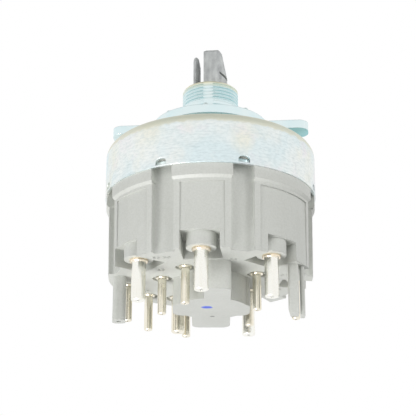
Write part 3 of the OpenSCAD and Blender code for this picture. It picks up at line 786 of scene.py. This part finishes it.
@dataclass
class RepeatedTurning(NodePiece):
    """One turned shape set at many places.

    Attributes:
        profile: Radius and height of the turned shape, in millimetres.
        places: X, Y and Z of each copy, in millimetres.
        sides: Sides of each copy.
    """

    profile: list[tuple[float, float]] = field(default_factory=list)
    places: list[tuple[float, float, float]] = field(default_factory=list)
    sides: int = 48

    def build(self) -> bpy.types.Object:
        """Sets the turned shape on every place and returns the joined mesh."""
        shape = mesh_of(self.name + "_shape", lathe(self.profile, self.sides))
        points = bpy.data.meshes.new(self.name)
        points.from_pydata([tuple(v * MM for v in place) for place in self.places], [], [])
        host = new_object(self.name, points)
        inputs = {
            "Turned shape": ("NodeSocketObject", shape),
            "Scale": ("NodeSocketFloat", 1.0),
        }
        tree = self.start(inputs)
        group = add_node(tree, "NodeGroupInput")
        source = add_node(
            tree, "GeometryNodeObjectInfo", {"Object": group.outputs["Turned shape"]}
        )
        spread = add_node(
            tree, "GeometryNodeInstanceOnPoints",
            {"Points": group.outputs["Geometry"], "Instance": source.outputs["Geometry"],
             "Scale": group.outputs["Scale"]},
        )
        made = self.bake(tree, spread.outputs["Instances"], host, inputs)
        bpy.data.objects.remove(shape)
        return made


@dataclass(frozen=True)
class Winding:
    """How a spring is wound.

    Attributes:
        turns: Number of turns.
        wire_r: Radius of the wire, in millimetres.
        coil_r: Radius of the coil to the wire's middle, in millimetres.
    """

    turns: float
    wire_r: float
    coil_r: float


@dataclass
class CoilSpring(NodePiece):
    """A coil spring of round wire, wound up Z from its foot and then leaned over.

    Attributes:
        winding: Turns and sizes of the coil.
        foot: Middle of its lower end, in millimetres.
        height: Height over the wire, in millimetres.
        lean: Turn about each axis, in degrees.
        side_steps: Points on each turn.
        wire_sides: Sides of the wire.
    """

    winding: Winding = Winding(3.5, 0.22, 1.45)
    foot: tuple[float, float, float] = (0.0, 0.0, 0.0)
    height: float = 5.0
    lean: tuple[float, float, float] = (0.0, 0.0, 0.0)
    side_steps: int = 28
    wire_sides: int = 12

    def build(self) -> bpy.types.Object:
        """Sweeps the wire along its helix and returns the mesh."""
        host = new_object(self.name, bpy.data.meshes.new(self.name))
        wire_r = self.winding.wire_r
        inputs = {
            "Turns": ("NodeSocketFloat", self.winding.turns),
            "Coil radius": ("NodeSocketFloat", self.winding.coil_r * MM),
            "Wire radius": ("NodeSocketFloat", wire_r * MM),
            "Height": ("NodeSocketFloat", (self.height - 2 * wire_r) * MM),
            "Lean": ("NodeSocketVector", tuple(math.radians(v) for v in self.lean)),
            "Foot": ("NodeSocketVector", tuple(v * MM for v in self.foot)),
        }
        tree = self.start(inputs)
        group = add_node(tree, "NodeGroupInput")
        helix = add_node(
            tree, "GeometryNodeCurveSpiral",
            {"Resolution": self.side_steps, "Rotations": group.outputs["Turns"],
             "Start Radius": group.outputs["Coil radius"],
             "End Radius": group.outputs["Coil radius"], "Height": group.outputs["Height"]},
        )
        section = add_node(
            tree, "GeometryNodeCurvePrimitiveCircle",
            {"Resolution": self.wire_sides, "Radius": group.outputs["Wire radius"]},
        )
        swept = add_node(
            tree, "GeometryNodeCurveToMesh",
            {"Curve": helix.outputs["Curve"], "Profile Curve": section.outputs["Curve"],
             "Fill Caps": True},
        )
        raised = add_node(
            tree, "GeometryNodeTransform",
            {"Geometry": swept.outputs["Mesh"], "Translation": (0, 0, wire_r * MM)},
        )
        placed = add_node(
            tree, "GeometryNodeTransform",
            {"Geometry": raised.outputs["Geometry"], "Rotation": group.outputs["Lean"],
             "Translation": group.outputs["Foot"]},
        )
        return self.bake(tree, placed.outputs["Geometry"], host, inputs)


# Sub-assemblies


@dataclass
class ThreadedNeck:
    """Neck with a cut thread, a shallow keyway at the front, a flange and a bearing journal."""

    major_r: float = 8.4
    seat_r: float = 8.38
    relief_r: float = 8.1
    bore_r: float = 5.28
    journal_r: float = 7.5
    flange_r: float = 11.0
    journal_z: float = -11.5
    flange_z: float = -5.5
    seat_z: float = -3.5
    plate_z: float = 0.0
    relief_z: float = 4.0
    relief_rise: float = 0.35
    thread_z: float = 5.2
    thread_runout: float = 0.7
    top_z: float = 11.75
    chamfer: float = 0.6
    pitch: float = 1.05
    depth: float = 0.4
    crest_share: float = 0.14
    flank_share: float = 0.72
    keyway_half: float = 1.5
    keyway_floor: float = 8.1
    keyway_wall_deg: float = 0.3
    keyway_clear_deg: float = 0.8
    sides: int = 160
    step_z: float = 0.075
    smooth_deg: float = 50.0

    def thread(self, turn: float, z: float) -> float:
        """Gives the radius over the thread, its run-out and the chamfered end.

        Args:
            turn: Turn round the axis, from 0 to 1.
            z: Height, in millimetres.

        Returns:
            The radius at that place, in millimetres.
        """
        phase = (z / self.pitch - turn) % 1.0
        wave = abs(2 * phase - 1)
        flank = min(1.0, max(0.0, (wave - self.crest_share) / self.flank_share))
        fade = min(1.0, max(0.0, (z - self.thread_z) / self.thread_runout))
        radius = self.major_r - self.depth * flank * fade
        rise = min(1.0, (z - self.relief_z) / self.relief_rise)
        start = self.relief_r + (radius - self.relief_r) * rise
        crest = self.major_r - max(0.0, z - (self.top_z - self.chamfer))
        return min(start, crest)

    def outline(self) -> list[tuple[float, float | None]]:
        """Gives the height of each ring and its radius, or None where the thread sets it."""
        rings: list[tuple[float, float | None]] = [
            (self.top_z, self.bore_r), (self.journal_z, self.bore_r),
            (self.journal_z, self.journal_r), (self.flange_z, self.journal_r),
            (self.flange_z, self.flange_r), (self.seat_z, self.flange_r),
            (self.seat_z, self.seat_r), (self.plate_z, self.seat_r),
            (self.plate_z, self.relief_r), (self.relief_z, self.relief_r),
        ]
        count = round((self.top_z - self.relief_z) / self.step_z)
        for i in range(count + 1):
            z = self.relief_z + (self.top_z - self.relief_z) * i / count
            rings.append((z, None))
        return rings

    def keyway_deg(self) -> float:
        """Gives the angle from the keyway's middle to its wall, in degrees."""
        return math.degrees(math.asin(self.keyway_half / self.major_r))

    def off_keyway(self, angle: float) -> float:
        """Gives the angle between a direction and the keyway's middle, in degrees."""
        return abs(angle - 360 * (angle > 180))

    def angles(self) -> list[float]:
        """Gives the angles of the sides, with close pairs at the keyway's walls."""
        edge = self.keyway_deg()
        plain = [360 * i / self.sides for i in range(self.sides)]
        kept = [a for a in plain if abs(self.off_keyway(a) - edge) > self.keyway_clear_deg]
        walls = [edge - self.keyway_wall_deg / 2, edge + self.keyway_wall_deg / 2]
        return sorted(kept + walls + [360 - a for a in walls])

    def radius(self, angle: float, z: float) -> float:
        """Gives the radius above the relief, with the thread and the keyway.

        Args:
            angle: Angle from -Y towards +X, in degrees.
            z: Height, in millimetres.

        Returns:
            The radius at that place, in millimetres.
        """
        threaded = self.thread(angle / 360, z)
        off = self.off_keyway(angle)
        if off < self.keyway_deg():
            return min(threaded, self.keyway_floor / math.cos(math.radians(off)))
        return threaded

    def build(self) -> None:
        """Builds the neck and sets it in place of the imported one."""
        bm = bmesh.new()
        angles = self.angles()
        rings = []
        for z, fixed in self.outline():
            places = [polar(a, self.radius(a, z) if fixed is None else fixed) for a in angles]
            rings.append([bm.verts.new((x, y, z)) for x, y in places])
        for low, high in zip(rings, rings[1:] + rings[:1]):
            for k in range(len(angles)):
                n = (k + 1) % len(angles)
                bm.faces.new((low[k], low[n], high[n], high[k]))
        bmesh.ops.remove_doubles(bm, verts=bm.verts, dist=MERGE)
        neck = mesh_of("threaded_neck", bm, self.smooth_deg)
        neck.data.materials.append(FINISHES[Slot.BLUE_ZINC].material())
        settle(neck, Body.CASE, ("neck_bush",))


@dataclass(frozen=True)
class TerminalSize:
    """Radii of one kind of terminal, in millimetres.

    Attributes:
        pin_r: Radius of the pin.
        shank_r: Radius of the shank in the moulding.
        rivet_r: Radius of the riveted end behind it.
    """

    pin_r: float
    shank_r: float
    rivet_r: float


THICK = TerminalSize(2.0, 1.6, 1.0)
THIN = TerminalSize(1.25, 0.95, 0.8)


@dataclass
class Terminals:
    """Turned terminals with rounded ends, each with the centre hole left by the lathe."""

    tip_z: float = -58.65
    tip_round: float = 0.45
    tip_steps: int = 8
    boss_z: float = -46.7
    recess_z: float = -47.25
    deck_z: float = -40.55
    rivet_z: float = -39.75
    flange_t: float = 0.7
    flange_step: float = 0.6
    flange_round: float = 0.12
    flange_steps: int = 3
    hole_r: float = 0.33
    hole_lip: float = 0.04
    hole_mouth_r: float = 0.4
    hole_floor_r: float = 0.3
    hole_wall: float = 0.55
    hole_depth: float = 0.7
    mark_sides: int = 20
    # Profile of the dark plug that paints the shade in each centre hole
    mark: tuple[tuple[float, float], ...] = ((0.0, 0.12), (0.31, 0.06), (0.31, 0.5), (0.0, 0.6))
    main: tuple[tuple[float, float], ...] = (
        (-1, 24.7), (-49.5, 24.7), (48, 24.7), (-148, 21.5), (157.5, 25.0),
    )
    signal: tuple[tuple[float, float], ...] = (
        (-26.8, 13.5), (-81.7, 14.0), (74.6, 14.1), (-127, 25.0),
        (-100.2, 25.1), (-158, 25.2), (140.3, 16.4), (105.2, 25.2),
    )

    def profile(self, size: TerminalSize, face_z: float) -> list[tuple[float, float]]:
        """Gives the turned profile of one terminal.

        Args:
            size: Radii of the terminal.
            face_z: Height of the moulding's face that the flange meets.

        Returns:
            Radius and height of each point, starting and ending on the axis.
        """
        flange_r = size.pin_r + self.flange_step
        low = face_z - self.flange_t
        bend = self.flange_round
        tip = self.tip_z
        points = [(0.0, tip + self.hole_depth), (self.hole_floor_r, tip + self.hole_wall)]
        points += [(self.hole_r, tip + self.hole_lip), (self.hole_mouth_r, tip)]
        end = self.tip_round
        points += arc(size.pin_r - end, tip + end, end, -90, 0, self.tip_steps)
        points += [(size.pin_r, low - bend), (size.pin_r + bend, low), (flange_r - bend, low)]
        points += arc(flange_r - bend, low + bend, bend, -90, 0, self.flange_steps)
        points += [(flange_r, face_z), (size.shank_r, face_z), (size.shank_r, self.deck_z)]
        points += [(size.rivet_r, self.deck_z), (size.rivet_r, self.rivet_z), (0.0, self.rivet_z)]
        return points

    def group(
        self, name: str, size: TerminalSize, face_z: float, pins: list[tuple[float, float]],
        nodes: tuple[str, ...], finish: Finish,
    ) -> None:
        """Makes one group of equal terminals.

        Args:
            name: Name of the piece.
            size: Radii of the terminals.
            face_z: Height of the face that their flanges meet.
            pins: Angle and radius of each.
            nodes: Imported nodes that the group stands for.
            finish: Finish of the group.
        """
        places = [(*polar(a, d), 0.0) for a, d in pins]
        piece = RepeatedTurning(
            name, finish, profile=self.profile(size, face_z), places=places,
        ).build()
        settle(piece, Body.CASE, nodes)

    def centre_hole_shade(self) -> None:
        """Makes the painted shade in the centre holes of the terminals' tips: a dark plug in each
        hole.
        """
        marks = RepeatedTurning(
            "terminal_centre_marks", CENTRE_HOLE_SHADE, sides=self.mark_sides, profile=list(self.mark),
            places=[(*polar(a, d), self.tip_z) for a, d in self.main + self.signal],
        ).build()
        settle(marks, Body.CASE)

    def build(self) -> None:
        """Builds all the terminals, each group standing for its packed ones."""
        thick = FINISHES[Slot.TINNED]
        self.group(
            "main_terminals_on_bosses", THICK, self.boss_z,
            [self.main[i] for i in (0, 1, 2, 4)],
            ("main_pin_1", "main_pin_2", "main_pin_3", "main_pin_5"), thick,
        )
        self.group(
            "main_terminal_in_recess", THICK, self.recess_z, [self.main[3]],
            ("main_pin_4",), THIN_TIN,
        )
        self.group(
            "signal_terminals_in_recesses", THIN, self.recess_z,
            list(self.signal[:7]), tuple(f"signal_pin_{i}" for i in range(1, 8)), THIN_TIN,
        )
        self.centre_hole_shade()
        self.group(
            "signal_terminal_on_boss", THIN, self.boss_z, [self.signal[7]],
            ("signal_pin_8",), THIN_TIN,
        )


@dataclass
class MouldedNumbers:
    """Plain raised numbers beside the terminals on the base's lower faces.

    Attributes:
        face_z: Height of those faces.
        rise: Thickness of the numbers.
        sunk: How far they are sunk into the faces.
        size: Height of a figure.
        curve_steps: Points on each bend of a figure.
        marks: Words of each mark, and the X and Y of its middle.
    """

    face_z: float = -47.95
    rise: float = 0.16
    sunk: float = 0.02
    size: float = 2.3
    curve_steps: int = 3
    marks: tuple[tuple[str, float, float], ...] = (
        ("56 30", -11.8, -21.4), ("58", -13.2, -10.4), ("56", 7.9, -18.3), ("31", 21.4, -2.7),
        ("15", -20.0, 1.6), ("7", -19.5, 9.6), ("4", 9.2, 17.8), ("2", 19.5, 11.0),
    )

    def figure(self, words: str, x: float, y: float) -> bpy.types.Mesh:
        """Makes one mark as a mesh in metres, in its place.

        Args:
            words: Figures of the mark.
            x: X of its middle, in millimetres.
            y: Y of its middle, in millimetres.

        Returns:
            The mesh, turned over about X because it is read from below.
        """
        curve = bpy.data.curves.new("number", "FONT")
        curve.body = words
        curve.size = self.size * MM
        curve.align_x = "CENTER"
        curve.align_y = "CENTER"
        curve.extrude = self.rise / 2 * MM
        curve.resolution_u = self.curve_steps
        holder = new_object("number", curve)
        bpy.context.view_layer.update()
        graph = bpy.context.evaluated_depsgraph_get()
        mesh = bpy.data.meshes.new_from_object(holder.evaluated_get(graph))
        middle = Vector((x, y, self.face_z - self.rise / 2 + self.sunk)) * MM
        mesh.transform(Matrix.Translation(middle) @ Matrix.Rotation(math.pi, 4, "X"))
        bpy.data.objects.remove(holder)
        bpy.data.curves.remove(curve)
        return mesh

    def build(self) -> None:
        """Builds all the numbers as one piece."""
        bm = bmesh.new()
        for words, x, y in self.marks:
            mesh = self.figure(words, x, y)
            bm.from_mesh(mesh)
            bpy.data.meshes.remove(mesh)
        bmesh.ops.remove_doubles(bm, verts=bm.verts, dist=MERGE * MM)
        bmesh.ops.scale(bm, vec=Vector((1 / MM,) * 3), verts=bm.verts)
        numbers = mesh_of("terminal_numbers", bm)
        numbers.data.materials.append(FINISHES[Slot.MOULDING].material())
        settle(numbers, Body.CASE)


@dataclass
class Springs:
    """Coil springs of the contact bridges and of the detents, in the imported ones' boxes."""

    bridge_angles: tuple[float, ...] = (59, 137, 278)
    bridge_r: float = 18.6
    bridge_winding: Winding = Winding(3.5, 0.22, 1.45)
    detent_winding: Winding = Winding(4.25, 0.25, 1.3)
    pull_winding: Winding = Winding(3.0, 0.2, 0.95)

    def coil(
        self, name: str, node: str, winding: Winding, foot: tuple[float, float, float],
        height: float, lean: tuple[float, float, float] = (0.0, 0.0, 0.0),
    ) -> None:
        """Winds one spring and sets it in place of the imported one.

        Args:
            name: Name of the piece.
            node: Packed spring that it stands for.
            winding: Turns and sizes of the coil.
            foot: Middle of its end, in millimetres.
            height: Length of the spring, in millimetres.
            lean: Turn about each axis, in degrees.
        """
        spring = CoilSpring(
            name, FINISHES[Slot.SPRING], winding=winding, foot=foot, height=height, lean=lean,
        ).build()
        settle(spring, Body.ROTOR, (node,))

    def build(self) -> None:
        """Builds every spring of the rotor."""
        for i, angle in enumerate(self.bridge_angles, 1):
            node = f"bridge_spring_{i}"
            low, high = box_mm(node)
            foot = (*polar(angle, self.bridge_r), low.z)
            self.coil(f"contact_spring_{i}", node, self.bridge_winding, foot, high.z - low.z)
        for i, side in ((1, 1.0), (2, -1.0)):
            node = f"detent_spring_{i}"
            low, high = box_mm(node)
            foot = (low.x if side > 0 else high.x, 0.0, (low.z + high.z) / 2)
            self.coil(
                f"detent_coil_{i}", node, self.detent_winding, foot, high.x - low.x,
                (0.0, 90.0 * side, 0.0),
            )
        node = "pull_detent_spring"
        low, high = box_mm(node)
        foot = (0.0, high.y, (low.z + high.z) / 2)
        self.coil(
            "pull_detent_coil", node, self.pull_winding, foot, high.y - low.y, (90.0, 0.0, 0.0)
        )


@dataclass
class PackedParts:
    """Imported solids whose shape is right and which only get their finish."""

    def build(self) -> None:
        """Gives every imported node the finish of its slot."""
        slots = {s["node"]: s["material_slot"] for s in frame["record"]["subparts"]}
        for name, node in frame["nodes"].items():
            made = FINISHES[Slot(slots[name])].material()
            node.data.materials.clear()
            node.data.materials.append(made)
            LOG.info("%s: %s", name, made.name)


# Studio


@dataclass(frozen=True)
class Lamp:
    """A square area lamp that faces the switch.

    Attributes:
        name: Name of the lamp.
        place: Its place, in metres.
        size: Length of its side, in metres.
        watts: Its power.
        mirrored: Whether glossy surfaces mirror it.
    """

    name: str
    place: tuple[float, float, float]
    size: float
    watts: float
    mirrored: bool


@dataclass
class Studio:
    """Camera at the photograph's place, three soft lamps and a white world.

    Attributes:
        camera_place: Place of the camera, in metres.
        forward: Direction in which it looks.
        up: Upward direction of the picture.
        lens_mm: Focal length, for a sensor 36 mm wide.
        world_level: Strength of the world as a light.
        zenith: Colour of the world overhead, where only reflections see it.
        zenith_span: Height in the sky, from 0 to 1, over which that colour comes in.
        aim: Point that the lamps face, in metres.
        lamps: The lamps.
    """

    camera_place: tuple[float, float, float] = (0.031877, -0.372845, -0.165079)
    forward: tuple[float, float, float] = (-0.08168, 0.93366, 0.34873)
    up: tuple[float, float, float] = (0.03039, -0.34740, 0.93722)
    lens_mm: float = 117.04
    sensor_mm: float = 36.0
    near_m: float = 0.01
    world_level: float = 0.3
    zenith: str = "#d3d6d3"
    zenith_span: tuple[float, float] = (0.55, 0.97)
    aim: tuple[float, float, float] = (0.0, 0.0, -0.025)
    lamps: tuple[Lamp, ...] = (
        Lamp("left_lamp", (-0.55, -0.42, 0.05), 0.6, 1.35, False),
        Lamp("right_lamp", (0.55, -0.42, 0.1), 0.6, 3.1, False),
        Lamp("low_lamp", (-0.28, -0.28, -0.64), 0.35, 4.2, True),
    )

    def camera(self) -> None:
        """Sets the camera at the photograph's viewing angle."""
        data = bpy.data.cameras.new("camera")
        data.lens = self.lens_mm
        data.sensor_width = self.sensor_mm
        data.clip_start = self.near_m
        eye = new_object("camera", data)
        back = -Vector(self.forward).normalized()
        right = Vector(self.up).cross(back).normalized()
        upward = back.cross(right)
        turn = Matrix((right, upward, back)).transposed().to_4x4()
        eye.matrix_world = Matrix.Translation(self.camera_place) @ turn
        bpy.context.scene.camera = eye

    def calculate(
        self, tree: bpy.types.NodeTree, operation: str, first: Any, second: Any
    ) -> bpy.types.NodeSocket:
        """Combines two values, each a number or a socket, and returns the result."""
        node = add_node(tree, "ShaderNodeMath", {0: first, 1: second}, operation=operation)
        return node.outputs["Value"]

    def sky(
        self, tree: bpy.types.NodeTree, seen_by_camera: bpy.types.NodeSocket
    ) -> bpy.types.NodeSocket:
        """Gives the world's colour: white, and the zenith's grey overhead for other rays.

        Args:
            tree: World's node tree.
            seen_by_camera: 1 on camera rays, 0 on others.

        Returns:
            The colour.
        """
        ray = add_node(tree, "ShaderNodeTexCoord").outputs["Generated"]
        height = add_node(tree, "ShaderNodeSeparateXYZ", {"Vector": ray}).outputs["Z"]
        start, end = self.zenith_span
        overhead = add_node(
            tree, "ShaderNodeMapRange",
            {"Value": height, "From Min": start, "From Max": end, "To Min": 0.0, "To Max": 1.0},
        )
        others = self.calculate(tree, "SUBTRACT", 1.0, seen_by_camera)
        share = self.calculate(tree, "MULTIPLY", overhead.outputs["Result"], others)
        mixed = add_node(
            tree, "ShaderNodeMix", {0: share, 6: linear(WHITE), 7: linear(self.zenith)},
            data_type="RGBA",
        )
        return mixed.outputs[2]

    def surroundings(self) -> None:
        """Makes the world white to the eye and to reflections, and dimmer as a light."""
        world = bpy.data.worlds.new("studio")
        world.use_nodes = True
        tree = world.node_tree
        tree.nodes.clear()
        path = add_node(tree, "ShaderNodeLightPath").outputs
        seen = self.calculate(tree, "MAXIMUM", path["Is Camera Ray"], path["Is Glossy Ray"])
        seen = self.calculate(tree, "MAXIMUM", seen, path["Is Transmission Ray"])
        level = add_node(
            tree, "ShaderNodeMapRange",
            {"Value": seen, "To Min": self.world_level, "To Max": 1.0},
        )
        light = add_node(
            tree, "ShaderNodeBackground",
            {"Color": self.sky(tree, path["Is Camera Ray"]), "Strength": level.outputs["Result"]},
        )
        add_node(tree, "ShaderNodeOutputWorld", {"Surface": light.outputs["Background"]})
        bpy.context.scene.world = world

    def hang(self, lamp: Lamp) -> None:
        """Hangs one lamp in its place, turned to the switch."""
        data = bpy.data.lights.new(lamp.name, "AREA")
        data.size = lamp.size
        data.energy = lamp.watts
        body = new_object(lamp.name, data)
        body.location = lamp.place
        towards = Vector(self.aim) - Vector(lamp.place)
        body.rotation_euler = towards.to_track_quat("-Z", "Y").to_euler()
        body.visible_glossy = lamp.mirrored

    def build(self) -> None:
        """Builds the whole studio."""
        bpy.context.scene.view_settings.view_transform = "Standard"
        self.camera()
        self.surroundings()
        for lamp in self.lamps:
            self.hang(lamp)
        LOG.info("studio ready with %d lamps", len(self.lamps))


def main() -> None:
    """Builds the switch's looks."""
    logging.basicConfig(level=logging.INFO, format="%(name)s %(message)s")
    builders: list[Callable[[], None]] = [
        Studio().build, PackedParts().build, ThreadedNeck().build, Terminals().build,
        MouldedNumbers().build, Springs().build,
    ]
    for build in builders:
        build()
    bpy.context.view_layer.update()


if __name__ == "__main__":
    main()
